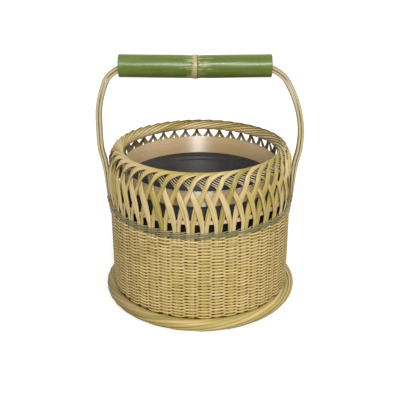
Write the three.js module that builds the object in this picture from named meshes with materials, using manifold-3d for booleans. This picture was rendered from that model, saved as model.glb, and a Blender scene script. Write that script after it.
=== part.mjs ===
// Bamboo hand warmer basket.
// A round woven basket on a rolled foot ring, with a collar of crossing strips that curl over
// into a rolled rim, a deep fire pot inside, a wide hoop standing on the pot's flange, and a
// fixed bow handle of two bent splints that carries a loose grip of green bamboo.
// Millimetres, +Z up. The origin is on the ground at the basket's axis; the handle's bow lies
// in the XZ plane.

import * as THREE from "three";
import { mergeVertices } from "three/addons/utils/BufferGeometryUtils.js";
import Module from "manifold-3d";

const wasm = await Module();
wasm.setup();

// Counts: a strip ends beside the strip that starts STRIP_TRAVEL_COUNT pairs further on
const STRIP_COUNT = 44;
const STRIP_TRAVEL_COUNT = 9;
const TWINING_ROWS = 3;
const RIB_COUNT = 4;

// Numbers of facets
const RING_SIDES = 44;
const GRIP_SIDES = 32;
const FOOT_TUBE_SIDES = 9;
const FLUTE_SIDES = 8;
const ROLL_STEPS = 6;
const SPLINT_STEPS = 44;
const POCKET_STEPS = 6;

// Shared clearances
const GAP = 0.3;
const FACET_GAP = 0.6;
const MERGE_DISTANCE = 0.003;

// Foot ring
const FOOT_RING_OUTSET = 2.5;
const FOOT_TUBE_RADIUS = 7.7;
const FOOT_FLAT_WIDTH = 7;

// Woven body and base
const BODY_RADIUS = 115;
const BODY_WALL = 4;
const BODY_TOP = 118;
const REBATE_DEPTH = 10;
const FLUTE_RADIUS = 4;
const FLUTE_DEPTH = 1.4;
const FLUTE_TOP_MARGIN = 1;
const BASE_THICKNESS = 4;
const BASE_EDGE_CLEARANCE = 0.5;

// Twining rows above the weave
const TWINING_PITCH = 3.5;
const TWINING_PROUD = 1.2;
const TWINING_DEPTH = 2.9;
const TWINING_ROUND = 0.8;

// Collar strips and rolled rim
const STRIP_THICKNESS = 1;
const CROSSING_OFFSET = 1.6;
const UPPER_CROSSING_INSET = 2.1;
const CURL_INSET = 2.6;
const CURL_DROP = 3.4;
const ROLL_INSET = 12.8;
const ROLL_HALF_WIDTH = 6.2;
const ROLL_HALF_HEIGHT = 6.9;
const DIVE_DROP = 0.8;
const SURFACE_DROP = 2.4;
const STRIP_WIDTHS = {
  foot: 4.4,
  leanStart: 5,
  spread: 6.2,
  lowerCrossing: 6.8,
  parting: 6,
  shoulder: 4.6,
  upperCrossing: 4.2,
  curl: 4.2,
  roll: 2.7,
  dive: 2.7,
  surface: 3.2,
};

// Heights of a strip's turning points, each above the one before it, from the twining's top
const LEAN_START_RISE = 9.5;
const SPREAD_RISE = 11;
const LOWER_CROSSING_RISE = 13;
const PARTING_RISE = 9;
const SHOULDER_RISE = 5.5;
const UPPER_CROSSING_RISE = 5.3;
const ROLL_RISE = 8.2;

// Where a strip passes each point, as shares of the spacing of the pairs: from its own pair,
// and, for the last part of its way down, back from the pair beside which it ends
const FIRST_PAIR_SHARE = 0.3;
const FLUTE_SHARE = FIRST_PAIR_SHARE + 0.5;
const TURN_SHARES = {
  pair: 0.17,
  leanStart: 0.18,
  spread: 0.3,
  lowerCrossing: 0.5,
  parting: 0.7,
  shoulder: 0.85,
  upperCrossing: 1,
  curl: 1.14,
  rollStart: 2.6,
  rollEnd: 7,
  dive: 1.55,
  surface: 1.18,
};
const DIVE_SHARE = 0.33;

// The arch over the outer side of the roll: turn share, angle on the roll, width
const ARCH = [
  [1.33, 9, 4.2],
  [1.52, 32, 4],
  [1.82, 57, 3.4],
  [2.14, 75, 2.8],
];

// Angles in degrees, from straight outward towards straight up: where the even part of the
// roll starts and ends, and how a strip's face turns as it goes in over the roll and out again
const ROLL_START_ANGLE = 88;
const ROLL_END_ANGLE = 215;
const FACE_ANGLES = {
  upperCrossing: 20,
  curl: 28,
  rollStart: 86,
  rollEnd: 124,
  dive: 96,
  surface: 55,
};

// Hoops inside the collar
const HOOP_HEIGHT = 5;
const HOOP_THICKNESS = 1;
const BAND_HEIGHT = 23.2;
const BAND_THICKNESS = 1.4;

// Fire pot
const POT_SIDE_ROOM = 13.5;
const POT_RIM_RISE = 27.3;
const POT_LIP_HEIGHT = 3;
const POT_LIP_WIDTH = 2.1;
const POT_SEAT_DROP = 5.3;
const POT_SEAT_WIDTH = 3;
const POT_TAPER = 17.5;
const POT_FLANGE_WIDTH = 17;
const POT_FLANGE_DROP = 1;
const POT_STEP_WIDTH = 3.5;
const POT_STEP_DROP = 4;
const POT_FLOOR = 5;
const POT_FLOOR_INSET = 8;
const RIB_PITCH = 3;
const RIB_DEPTH = 0.9;

// Handle splints
const SPLINT_WIDTH = 9;
const SPLINT_THICKNESS = 4;
const SPLINT_TIP_THICKNESS = 1.05;
const SPLINT_CLEARANCE = 0.9;
const BOW_PROUD = 14;
const BOW_RISE = 27;
const SPLINT_TIP_DEPTH = 14;
const HANDLE_LEAN = 6;

// The splints' path. Beside the collar the shares are of the splint's thickness, outward. On
// the bow they are of the way in from the bow to the grip's end, and of the height from the
// bow to the grip. Inside the grip they are of its half length and of its bore.
const SPLINT_PATH_SHARES = {
  twiningOut: 0.45,
  twiningThickness: 0.43,
  collarOut: 0.92,
  collarThickness: 0.86,
  shoulderOut: 1.5,
  rollIn: 0.025,
  lowerBendIn: 0.1,
  lowerBendRise: 0.35,
  upperBendIn: 0.345,
  upperBendRise: 0.66,
  approachIn: 0.565,
  mouthDrop: 0.3,
  inside: 0.82,
  insideLift: 0.18,
  seatStart: 0.5,
};

// Grip
const GRIP_LENGTH = 183;
const GRIP_RADIUS = 13.7;
const GRIP_WALL = 2.4;
const GRIP_RISE = 78.6;
const NODE_SWELL = 0.7;
const NODE_WIDTH = 9;
const NODE_CREST_SHARE = 0.33;
const GRIP_END_ROUND = 1.2;

// Values worked out from the sizes above
const PERIOD_ANGLE = (2 * Math.PI) / STRIP_COUNT;
const FOOT_RING_RADIUS = BODY_RADIUS + FOOT_RING_OUTSET;
const BODY_INNER = BODY_RADIUS - BODY_WALL;
const TWINING_TOP = BODY_TOP + TWINING_ROWS * TWINING_PITCH;
const LEAN_START_HEIGHT = TWINING_TOP + LEAN_START_RISE;
const SPREAD_HEIGHT = LEAN_START_HEIGHT + SPREAD_RISE;
const LOWER_CROSSING_HEIGHT = SPREAD_HEIGHT + LOWER_CROSSING_RISE;
const PARTING_HEIGHT = LOWER_CROSSING_HEIGHT + PARTING_RISE;
const SHOULDER_HEIGHT = PARTING_HEIGHT + SHOULDER_RISE;
const UPPER_CROSSING_HEIGHT = SHOULDER_HEIGHT + UPPER_CROSSING_RISE;
const ROLL_HEIGHT = UPPER_CROSSING_HEIGHT + ROLL_RISE;
const BOW_HEIGHT = ROLL_HEIGHT + BOW_RISE;
const GRIP_HEIGHT = BOW_HEIGHT + GRIP_RISE;
const POT_RIM_TOP = TWINING_TOP + POT_RIM_RISE;
const SPLINT_TIP_HEIGHT = BODY_TOP - SPLINT_TIP_DEPTH;
const TWINING_OUTER = BODY_RADIUS + TWINING_PROUD;
const TWINING_INNER = TWINING_OUTER - TWINING_DEPTH;
const STRIP_FOOT_RADIUS = TWINING_INNER - FACET_GAP - STRIP_THICKNESS / 2;
const STRIP_FOOT_HEIGHT = BODY_TOP - REBATE_DEPTH + GAP;
const COLLAR_OUTER_LAYER = BODY_RADIUS - STRIP_THICKNESS / 2;
const COLLAR_INNER_LAYER = COLLAR_OUTER_LAYER - CROSSING_OFFSET;
const UPPER_CROSSING_RADIUS = COLLAR_OUTER_LAYER - UPPER_CROSSING_INSET;
const ROLL_RADIUS = BODY_RADIUS - ROLL_INSET;
const HOOP_RADIUS = COLLAR_INNER_LAYER - STRIP_THICKNESS / 2 - GAP;
const POT_RIM_RADIUS = BODY_RADIUS - POT_SIDE_ROOM;
const POT_FOOT_RADIUS = POT_RIM_RADIUS - POT_TAPER;
const POT_LIP_INNER = POT_RIM_RADIUS - POT_LIP_WIDTH;
const POT_SEAT_TOP = POT_RIM_TOP - POT_SEAT_DROP;
const BAND_RADIUS = POT_LIP_INNER - GAP;
const CURL_RADIUS = UPPER_CROSSING_RADIUS + CROSSING_OFFSET / 2 - CURL_INSET;
const SPLINT_SEAT = BODY_RADIUS + SPLINT_CLEARANCE;
const BOW_LINE = BODY_RADIUS + BOW_PROUD - SPLINT_THICKNESS;
const GRIP_BORE = GRIP_RADIUS - GRIP_WALL;

// Materials
function finish(color, roughness, metalness = 0) {
  return new THREE.MeshStandardMaterial({ color, roughness, metalness });
}

const WEAVE = finish(0xcdb973, 0.6);
const TWINING = finish(0x6f7450, 0.6);
const STRIP = finish(0xd8c285, 0.5);
const BAND = finish(0xc0a076, 0.4);
const POT = finish(0x45454a, 0.55, 0.3);
const SPLINT = finish(0xb9a36c, 0.5);
const GREEN = finish(0x6d8038, 0.35);

// Places on the part
const basket = new THREE.Group();

function addPart(name, geometry, material, parent = basket) {
  const mesh = new THREE.Mesh(geometry, material);
  mesh.name = name;
  parent.add(mesh);
  return mesh;
}

// Solids turned about the vertical axis
function turned(points, sides = RING_SIDES) {
  const profile = points.map(([radius, height]) => new THREE.Vector2(radius, height));
  const [first] = profile;
  if (first.x > 0) {
    profile.push(first.clone());
  }
  const geometry = new THREE.LatheGeometry(profile, sides);
  geometry.rotateX(Math.PI / 2);
  return closed(geometry);
}

function closed(geometry) {
  const bare = geometry.clone();
  bare.deleteAttribute("normal");
  bare.deleteAttribute("uv");
  return mergeVertices(bare, MERGE_DISTANCE);
}

// Boolean cut of one closed mesh by others
function toSolid(geometry) {
  const merged = closed(geometry);
  const mesh = new wasm.Mesh({
    numProp: 3,
    vertProperties: new Float32Array(merged.attributes.position.array),
    triVerts: new Uint32Array(merged.index.array),
  });
  return new wasm.Manifold(mesh);
}

function toGeometry(solid) {
  const mesh = solid.getMesh();
  const geometry = new THREE.BufferGeometry();
  geometry.setAttribute("position", new THREE.BufferAttribute(mesh.vertProperties, mesh.numProp));
  geometry.setIndex(new THREE.BufferAttribute(mesh.triVerts, 1));
  return geometry;
}

function cut(geometry, tools) {
  return toGeometry(tools.reduce((solid, tool) => solid.subtract(toSolid(tool)), toSolid(geometry)));
}

// Outward side of a closed mesh
function facingOut(geometry) {
  const position = geometry.attributes.position;
  const [a, b, c] = [new THREE.Vector3(), new THREE.Vector3(), new THREE.Vector3()];
  let volume = 0;
  for (let i = 0; i < geometry.index.count; i += 3) {
    a.fromBufferAttribute(position, geometry.index.getX(i));
    b.fromBufferAttribute(position, geometry.index.getX(i + 1));
    c.fromBufferAttribute(position, geometry.index.getX(i + 2));
    volume += a.dot(b.cross(c));
  }
  if (volume < 0) {
    geometry.index.array.reverse();
  }
  return geometry;
}

// A flat strip swept through stations. Each station has a centre, the direction across the
// strip's width, the direction of its face, a width, and how far its two faces lie from the
// centre along the face direction.
function sweptStrip(stations) {
  const positions = [];
  const corner = new THREE.Vector3();
  for (const { centre, across, face, width, back, front } of stations) {
    for (const [side, lift] of [[-1, back], [1, back], [1, front], [-1, front]]) {
      corner.copy(centre).addScaledVector(across, (side * width) / 2).addScaledVector(face, lift);
      positions.push(corner.x, corner.y, corner.z);
    }
  }
  const indices = [];
  for (let i = 0; i < stations.length - 1; i += 1) {
    for (let k = 0; k < 4; k += 1) {
      const a = 4 * i + k;
      const b = 4 * i + ((k + 1) % 4);
      indices.push(a, b, a + 4, b, b + 4, a + 4);
    }
  }
  const end = 4 * (stations.length - 1);
  indices.push(0, 2, 1, 0, 3, 2);
  indices.push(end, end + 1, end + 2, end, end + 2, end + 3);
  const geometry = new THREE.BufferGeometry();
  geometry.setAttribute("position", new THREE.Float32BufferAttribute(positions, 3));
  geometry.setIndex(indices);
  return facingOut(geometry);
}

// Foot ring: a round ring flattened underneath
function footRing() {
  const flatHalf = FOOT_FLAT_WIDTH / 2;
  const flatAngle = Math.asin(flatHalf / FOOT_TUBE_RADIUS);
  const sweep = 2 * (Math.PI - flatAngle);
  const points = [];
  for (let i = 0; i <= FOOT_TUBE_SIDES; i += 1) {
    const angle = -Math.PI / 2 + flatAngle + (sweep * i) / FOOT_TUBE_SIDES;
    points.push([
      FOOT_RING_RADIUS + FOOT_TUBE_RADIUS * Math.cos(angle),
      footCentreHeight() + FOOT_TUBE_RADIUS * Math.sin(angle),
    ]);
  }
  return facingOut(turned(points));
}

function footCentreHeight() {
  return Math.sqrt(FOOT_TUBE_RADIUS ** 2 - (FOOT_FLAT_WIDTH / 2) ** 2);
}

function footTopAt(radius) {
  const across = radius - FOOT_RING_RADIUS;
  return footCentreHeight() + Math.sqrt(FOOT_TUBE_RADIUS ** 2 - across ** 2);
}

// Woven body and its base
const BODY_BOTTOM = footTopAt(BODY_RADIUS) + GAP;
const BASE_RADIUS = BODY_INNER - BASE_EDGE_CLEARANCE;
const BASE_BOTTOM = footTopAt(BASE_RADIUS) + GAP;
const BASE_TOP = BASE_BOTTOM + BASE_THICKNESS;

function wovenBody() {
  const rebateBottom = BODY_TOP - REBATE_DEPTH;
  return facingOut(turned([
    [BODY_INNER, BODY_BOTTOM],
    [BODY_RADIUS, BODY_BOTTOM],
    [BODY_RADIUS, BODY_TOP],
    [TWINING_INNER, BODY_TOP],
    [TWINING_INNER, rebateBottom],
    [BODY_INNER, rebateBottom],
  ]));
}

function baseMat() {
  return facingOut(turned([
    [0, BASE_BOTTOM],
    [BASE_RADIUS, BASE_BOTTOM],
    [BASE_RADIUS, BASE_TOP],
    [0, BASE_TOP],
  ]));
}

// Twining rows
function twiningRow(row) {
  const bottom = BODY_TOP + row * TWINING_PITCH + GAP;
  const top = bottom + TWINING_PITCH - GAP;
  return facingOut(turned([
    [TWINING_INNER, bottom],
    [TWINING_OUTER - TWINING_ROUND, bottom],
    [TWINING_OUTER, bottom + TWINING_ROUND],
    [TWINING_OUTER, top - TWINING_ROUND],
    [TWINING_OUTER - TWINING_ROUND, top],
    [TWINING_INNER, top],
  ]));
}

// Plain hoops
function hoop(outer, thickness, bottom, height) {
  return facingOut(turned([
    [outer - thickness, bottom],
    [outer, bottom],
    [outer, bottom + height],
    [outer - thickness, bottom + height],
  ]));
}

// Fire pot: ribbed rim with a raised lip round the band's seat, flange, stepped mouth and a
// tapering wall
function firePot() {
  const foot = BASE_TOP + GAP;
  const lipBottom = POT_RIM_TOP - POT_LIP_HEIGHT;
  const flangeInner = POT_RIM_RADIUS - POT_FLANGE_WIDTH;
  const flangeLow = POT_SEAT_TOP - POT_FLANGE_DROP;
  const stepInner = flangeInner - POT_STEP_WIDTH;
  const stepLow = flangeLow - POT_STEP_DROP;
  const points = [
    [0, foot],
    [POT_FOOT_RADIUS, foot],
  ];
  for (let i = RIB_COUNT; i > 0; i -= 1) {
    const root = lipBottom - i * RIB_PITCH;
    points.push([POT_RIM_RADIUS - RIB_DEPTH, root]);
    points.push([POT_RIM_RADIUS, root + RIB_PITCH / 2]);
  }
  points.push(
    [POT_RIM_RADIUS - RIB_DEPTH, lipBottom],
    [POT_RIM_RADIUS, POT_RIM_TOP - POT_LIP_HEIGHT / 2],
    [POT_RIM_RADIUS, POT_RIM_TOP],
    [POT_LIP_INNER, POT_RIM_TOP],
    [POT_LIP_INNER, POT_SEAT_TOP],
    [POT_LIP_INNER - POT_SEAT_WIDTH, POT_SEAT_TOP],
    [flangeInner, flangeLow],
    [flangeInner, stepLow],
    [stepInner, stepLow],
    [POT_FOOT_RADIUS - POT_FLOOR_INSET, foot + POT_FLOOR],
    [0, foot + POT_FLOOR],
  );
  return facingOut(turned(points));
}

// One strip of the collar. It rises from its own pair, leaning to the right, arches over the
// rim, runs along the inner side of the roll, dives out under it, and comes down leaning the
// other way. Its route is a list of places: turn, radius, height, width and face angle.
function rollPoint(degrees) {
  const angle = THREE.MathUtils.degToRad(degrees);
  return [
    ROLL_RADIUS + ROLL_HALF_WIDTH * Math.cos(angle),
    ROLL_HEIGHT + ROLL_HALF_HEIGHT * Math.sin(angle),
  ];
}

// The part of the strip that rises or falls through the collar, foot first. Where two strips
// cross, one lies in the inner layer and the other in the outer layer.
function collarLeg(lowLayer, highLayer, upperRadius) {
  const shares = TURN_SHARES;
  const widths = STRIP_WIDTHS;
  return [
    [shares.pair, STRIP_FOOT_RADIUS, STRIP_FOOT_HEIGHT, widths.foot, 0],
    [shares.pair, STRIP_FOOT_RADIUS, TWINING_TOP, widths.foot, 0],
    [shares.leanStart, lowLayer, LEAN_START_HEIGHT, widths.leanStart, 0],
    [shares.spread, lowLayer, SPREAD_HEIGHT, widths.spread, 0],
    [shares.lowerCrossing, lowLayer, LOWER_CROSSING_HEIGHT, widths.lowerCrossing, 0],
    [shares.parting, lowLayer, PARTING_HEIGHT, widths.parting, 0],
    [shares.shoulder, highLayer, SHOULDER_HEIGHT, widths.shoulder, 0],
    [
      shares.upperCrossing,
      upperRadius,
      UPPER_CROSSING_HEIGHT,
      widths.upperCrossing,
      FACE_ANGLES.upperCrossing,
    ],
  ];
}

function stripRoute() {
  const shares = TURN_SHARES;
  const widths = STRIP_WIDTHS;
  const outside = UPPER_CROSSING_RADIUS + CROSSING_OFFSET / 2;
  const inside = UPPER_CROSSING_RADIUS - CROSSING_OFFSET / 2;
  const rise = collarLeg(COLLAR_INNER_LAYER, COLLAR_OUTER_LAYER, outside);
  rise.push([shares.curl, CURL_RADIUS, ROLL_HEIGHT - CURL_DROP, widths.curl, FACE_ANGLES.curl]);
  for (const [turn, angle, width] of ARCH) {
    rise.push([turn, ...rollPoint(angle), width, angle]);
  }
  const roll = [];
  for (let i = 0; i <= ROLL_STEPS; i += 1) {
    const share = i / ROLL_STEPS;
    const turn = THREE.MathUtils.lerp(shares.rollStart, shares.rollEnd, share);
    const angle = THREE.MathUtils.lerp(ROLL_START_ANGLE, ROLL_END_ANGLE, share);
    const facing = THREE.MathUtils.lerp(FACE_ANGLES.rollStart, FACE_ANGLES.rollEnd, share);
    roll.push([turn, ...rollPoint(angle), widths.roll, facing]);
  }
  const [, under] = rollPoint(ROLL_END_ANGLE);
  const fall = collarLeg(COLLAR_OUTER_LAYER, COLLAR_INNER_LAYER, inside);
  const diveRadius = ROLL_RADIUS + ROLL_HALF_WIDTH * DIVE_SHARE;
  const surfaceRadius = inside - CROSSING_OFFSET;
  fall.push(
    [shares.surface, surfaceRadius, under - SURFACE_DROP, widths.surface, FACE_ANGLES.surface],
    [shares.dive, diveRadius, under - DIVE_DROP, widths.dive, FACE_ANGLES.dive],
  );
  const back = fall.reverse().map(([turn, ...rest]) => [STRIP_TRAVEL_COUNT - turn, ...rest]);
  return [...rise, ...roll, ...back];
}

function rimStrip() {
  const route = stripRoute();
  const arcPerTurn = PERIOD_ANGLE * ROLL_RADIUS;
  const curve = new THREE.CatmullRomCurve3(
    route.map(([turn, radius, height]) => new THREE.Vector3(turn * arcPerTurn, radius, height)),
    false,
    "centripetal",
  );
  const last = route.length - 1;
  return sweptStrip(route.map(([, , , width, facing], key) => (
    stripStation(curve, key / last, width, facing)
  )));
}

function stripStation(curve, t, width, facing) {
  const place = curve.getPoint(t);
  const slope = curve.getTangent(t);
  const angle = place.x / ROLL_RADIUS;
  const outward = new THREE.Vector3(Math.sin(angle), -Math.cos(angle), 0);
  const along = new THREE.Vector3(Math.cos(angle), Math.sin(angle), 0);
  const up = new THREE.Vector3(0, 0, 1);
  const spread = place.y / ROLL_RADIUS;
  const direction = new THREE.Vector3()
    .addScaledVector(along, slope.x * spread)
    .addScaledVector(outward, slope.y)
    .addScaledVector(up, slope.z)
    .normalize();
  const tilt = THREE.MathUtils.degToRad(facing);
  const looking = new THREE.Vector3()
    .addScaledVector(outward, Math.cos(tilt))
    .addScaledVector(up, Math.sin(tilt));
  const across = new THREE.Vector3().crossVectors(direction, looking).normalize();
  return {
    centre: outward.clone().multiplyScalar(place.y).addScaledVector(up, place.z),
    across,
    face: new THREE.Vector3().crossVectors(across, direction).normalize(),
    width,
    back: -STRIP_THICKNESS / 2,
    front: STRIP_THICKNESS / 2,
  };
}

// Handle: the line along which the two splints lie face to face, from the left tip over the
// grip to the right tip, in the XZ plane
function partingPoints() {
  const shares = SPLINT_PATH_SHARES;
  const thick = SPLINT_THICKNESS;
  const boreAtEdge = Math.sqrt(GRIP_BORE ** 2 - (SPLINT_WIDTH / 2) ** 2);
  const gripSeat = GRIP_HEIGHT + boreAtEdge - thick - FACET_GAP;
  const gripHalf = GRIP_LENGTH / 2;
  const rise = GRIP_HEIGHT - BOW_HEIGHT;
  const reach = BOW_LINE - gripHalf;
  return [
    [BODY_RADIUS - SPLINT_TIP_THICKNESS / 2, SPLINT_TIP_HEIGHT, SPLINT_TIP_THICKNESS],
    [SPLINT_SEAT + thick * shares.twiningOut, TWINING_TOP, thick * shares.twiningThickness],
    [SPLINT_SEAT + thick * shares.collarOut, LOWER_CROSSING_HEIGHT, thick * shares.collarThickness],
    [SPLINT_SEAT + thick * shares.shoulderOut, SHOULDER_HEIGHT, thick],
    [BOW_LINE - reach * shares.rollIn, ROLL_HEIGHT, thick],
    [BOW_LINE, BOW_HEIGHT, thick],
    [BOW_LINE - reach * shares.lowerBendIn, BOW_HEIGHT + rise * shares.lowerBendRise, thick],
    [BOW_LINE - reach * shares.upperBendIn, BOW_HEIGHT + rise * shares.upperBendRise, thick],
    [BOW_LINE - reach * shares.approachIn, GRIP_HEIGHT - GRIP_RADIUS, thick],
    [gripHalf, GRIP_HEIGHT - GRIP_BORE * shares.mouthDrop, thick],
    [gripHalf * shares.inside, GRIP_HEIGHT + GRIP_BORE * shares.insideLift, thick],
    [gripHalf * shares.seatStart, gripSeat - GAP, thick],
    [0, gripSeat, thick],
  ];
}

function leanAt(height) {
  const share = (height - BOW_HEIGHT) / (GRIP_HEIGHT - BOW_HEIGHT);
  return -HANDLE_LEAN * THREE.MathUtils.clamp(share, 0, 1);
}

function handleCurve() {
  const right = partingPoints();
  const left = right.slice(0, -1).map(([x, z, thickness]) => [-x, z, thickness]);
  const points = [...left, ...right.reverse()];
  return new THREE.CatmullRomCurve3(
    points.map(([x, z, thickness]) => new THREE.Vector3(x + leanAt(z), thickness, z)),
    false,
    "centripetal",
  );
}

// Sweeps a band along the parting line. The faces function gives the depths of its two faces
// from the splint thickness at each place: inward is negative.
function alongHandle(width, faces, firstStep = 0, lastStep = SPLINT_STEPS) {
  const curve = handleCurve();
  const across = new THREE.Vector3(0, 1, 0);
  const stations = [];
  for (let i = firstStep; i <= lastStep; i += 1) {
    const t = i / SPLINT_STEPS;
    const place = curve.getPoint(t);
    const slope = curve.getTangent(t);
    const [back, front] = faces(place.y);
    stations.push({
      centre: new THREE.Vector3(place.x, 0, place.z),
      across,
      face: new THREE.Vector3(-slope.z, 0, slope.x).normalize(),
      width,
      back,
      front,
    });
  }
  return sweptStrip(stations);
}

function outerSplint() {
  return alongHandle(SPLINT_WIDTH, (thickness) => [GAP / 2, GAP / 2 + thickness]);
}

function innerSplint() {
  return alongHandle(SPLINT_WIDTH, (thickness) => [-GAP / 2 - thickness, -GAP / 2]);
}

// Upright flutes in the wall, where the weavers pass between two pairs, from the ground up to
// just below the strips' rebate
function flutes() {
  const height = BODY_TOP - REBATE_DEPTH - FLUTE_TOP_MARGIN;
  const axisRadius = BODY_RADIUS + FLUTE_RADIUS - FLUTE_DEPTH;
  const tools = [];
  for (let i = 0; i < STRIP_COUNT; i += 1) {
    const angle = (i + FLUTE_SHARE) * PERIOD_ANGLE;
    const tool = new THREE.CylinderGeometry(FLUTE_RADIUS, FLUTE_RADIUS, height, FLUTE_SIDES);
    tool.rotateX(Math.PI / 2);
    tool.rotateZ(angle + Math.PI / FLUTE_SIDES);
    tool.translate(axisRadius * Math.sin(angle), -axisRadius * Math.cos(angle), height / 2);
    tools.push(tool);
  }
  return tools;
}

// The room that the splint tips take in the wall and the twining, open to the outside
function tipPockets() {
  const width = SPLINT_WIDTH + 2 * GAP;
  const faces = (thickness) => [-GAP / 2 - thickness - GAP, GAP / 2 + 2 * SPLINT_THICKNESS];
  return [
    alongHandle(width, faces, 0, POCKET_STEPS),
    alongHandle(width, faces, SPLINT_STEPS - POCKET_STEPS, SPLINT_STEPS),
  ];
}

// Grip: a length of culm with one node, bored through
function gripCulm() {
  const half = GRIP_LENGTH / 2;
  const nodeHalf = NODE_WIDTH / 2;
  const crestHalf = nodeHalf * NODE_CREST_SHARE;
  const geometry = turned([
    [GRIP_BORE, -half],
    [GRIP_RADIUS - GRIP_END_ROUND, -half],
    [GRIP_RADIUS, GRIP_END_ROUND - half],
    [GRIP_RADIUS, -nodeHalf],
    [GRIP_RADIUS + NODE_SWELL, -crestHalf],
    [GRIP_RADIUS + NODE_SWELL, crestHalf],
    [GRIP_RADIUS, nodeHalf],
    [GRIP_RADIUS, half - GRIP_END_ROUND],
    [GRIP_RADIUS - GRIP_END_ROUND, half],
    [GRIP_BORE, half],
  ], GRIP_SIDES);
  return facingOut(geometry);
}

// Assembly
addPart("foot_ring", footRing(), WEAVE);
addPart("base_mat", baseMat(), WEAVE);
const pockets = tipPockets();
addPart("woven_body", cut(wovenBody(), [...pockets, ...flutes()]), WEAVE);
for (let row = 0; row < TWINING_ROWS; row += 1) {
  addPart(`twining_row_${row + 1}`, cut(twiningRow(row), pockets), TWINING);
}

const rimStripGeometry = rimStrip();
const collar = new THREE.Group();
basket.add(collar);
for (let i = 0; i < STRIP_COUNT; i += 1) {
  const name = `rim_strip_${String(i + 1).padStart(2, "0")}`;
  const strip = addPart(name, rimStripGeometry, STRIP, collar);
  strip.rotation.z = (i + FIRST_PAIR_SHARE) * PERIOD_ANGLE;
}

addPart("support_hoop", hoop(HOOP_RADIUS, HOOP_THICKNESS, LEAN_START_HEIGHT, HOOP_HEIGHT), STRIP);
addPart("fire_pot", firePot(), POT);
addPart("inner_band", hoop(BAND_RADIUS, BAND_THICKNESS, POT_SEAT_TOP + GAP, BAND_HEIGHT), BAND);

addPart("handle_splint_outer", outerSplint(), SPLINT);
addPart("handle_splint_inner", innerSplint(), SPLINT);
const grip = addPart("grip_culm", gripCulm(), GREEN);
grip.rotation.y = Math.PI / 2;
grip.position.set(-HANDLE_LEAN, 0, GRIP_HEIGHT);

export default basket;
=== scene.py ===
import math

import bpy
import numpy as np
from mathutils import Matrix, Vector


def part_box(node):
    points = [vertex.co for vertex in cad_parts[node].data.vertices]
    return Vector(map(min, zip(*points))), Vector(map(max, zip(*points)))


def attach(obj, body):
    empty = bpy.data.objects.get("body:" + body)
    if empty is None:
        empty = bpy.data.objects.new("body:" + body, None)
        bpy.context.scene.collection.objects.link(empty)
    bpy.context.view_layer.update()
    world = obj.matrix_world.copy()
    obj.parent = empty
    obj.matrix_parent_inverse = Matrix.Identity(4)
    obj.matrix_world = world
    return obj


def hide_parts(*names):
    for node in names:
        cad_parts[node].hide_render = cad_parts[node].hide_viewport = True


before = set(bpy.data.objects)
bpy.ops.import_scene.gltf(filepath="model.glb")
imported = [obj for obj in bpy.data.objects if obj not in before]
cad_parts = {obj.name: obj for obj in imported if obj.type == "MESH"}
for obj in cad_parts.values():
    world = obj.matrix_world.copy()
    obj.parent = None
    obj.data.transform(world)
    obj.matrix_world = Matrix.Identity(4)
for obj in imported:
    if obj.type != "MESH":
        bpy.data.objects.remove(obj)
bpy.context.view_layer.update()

# Bamboo hand warmer basket, in metres. Azimuth runs from the front (-Y) towards +X. A turn is the
# spacing of the warp pairs. Pair number k stands k turns after FIRST_PAIR.

# Whole basket
PAIRS = 44
TURN_ANGLE = 2 * math.pi / PAIRS
FIRST_PAIR = 0.3
RING_SIDES = 264
SEED_RANGE = 50
UP = np.array([0, 0, 1.0])
LEVEL = np.array([1, 1, 0])
ALONG_Y = np.array([0, 1.0, 0])

# Sizes read from the frame
BODY_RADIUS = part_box("woven_body")[1].y
BODY_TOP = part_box("woven_body")[1].z
FOOT_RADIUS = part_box("foot_ring")[1].y
FOOT_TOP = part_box("foot_ring")[1].z
BASE_LOW, BASE_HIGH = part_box("base_mat")
HOOP_LOW, HOOP_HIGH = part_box("support_hoop")
BAND_LOW, BAND_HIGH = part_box("inner_band")
POT_LOW, POT_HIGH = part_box("fire_pot")
GRIP_LOW, GRIP_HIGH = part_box("grip_culm")
ROLL_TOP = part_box("rim_strip_01")[1].z

# Weave
WEAVE_ROWS = 49
WEAVE_LOW = 0.0095
WEAVE_DEPTH = 0.0014
WEAVER_FLATNESS = 1.5
WEFT_HEIGHT = 0.0024
WEFT_THICKNESS = 0.0009
WEFT_LOW = FOOT_TOP - 0.0022
WEFT_STEPS = 8
WEFT_WOBBLE = 0.00022
WEFT_WOBBLE_RATES = (0.31, 1.13, 2.71)
WEFT_PHASES = 6.28
WEFT_UNEVEN = 0.06
WEFT_UNEVEN_RATE = 0.77
WEFT_SEEDS = (0.4, 2.3)
# Painted shade on the wefts at the basket's two sides
WEFT_SIDE_SHADE = 0.45
WEFT_SHADE_POWER = 4
WARP_WIDTH = 0.0038
WARP_THICKNESS = 0.0009
WARP_RADIUS = BODY_RADIUS - WEFT_THICKNESS / 2 - WEAVE_DEPTH
WARP_LOW = BASE_HIGH.z - 0.003
WARP_JITTER = 0.0015
PAIR_SHARE = 0.117
# Dark strips behind the wefts, standing for the shade in the holes of the weave
BACKING_WIDTH = 0.0079
BACKING_DEPTH = 0.0026
UPRIGHT_STEPS = 12

# Twining
TWINING_ROWS = 3
TWINING_LOW = BODY_TOP + 0.0022
TWINING_PITCH = 0.0027
TWINING_STRAND_HEIGHT = 0.0020
TWINING_STRAND_THICKNESS = 0.0012
TWINING_DEPTH = 0.0014
TWINING_TWIST_HEIGHT = 0.0010
TWINING_WOBBLE = 0.0001
TWINING_WOBBLE_RATE = 2.8
TWINING_STEPS = 10
TWINING_TOP = TWINING_LOW + TWINING_ROWS * TWINING_PITCH

# Collar strips
STRIP_TRAVEL = 9
STRIP_THICKNESS = 0.0009
STRIP_FOOT_HEIGHT = 0.1085
STRIP_STEPS = 5
STRIP_WIDTH_SPREAD = (0.94, 1.04)

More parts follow.
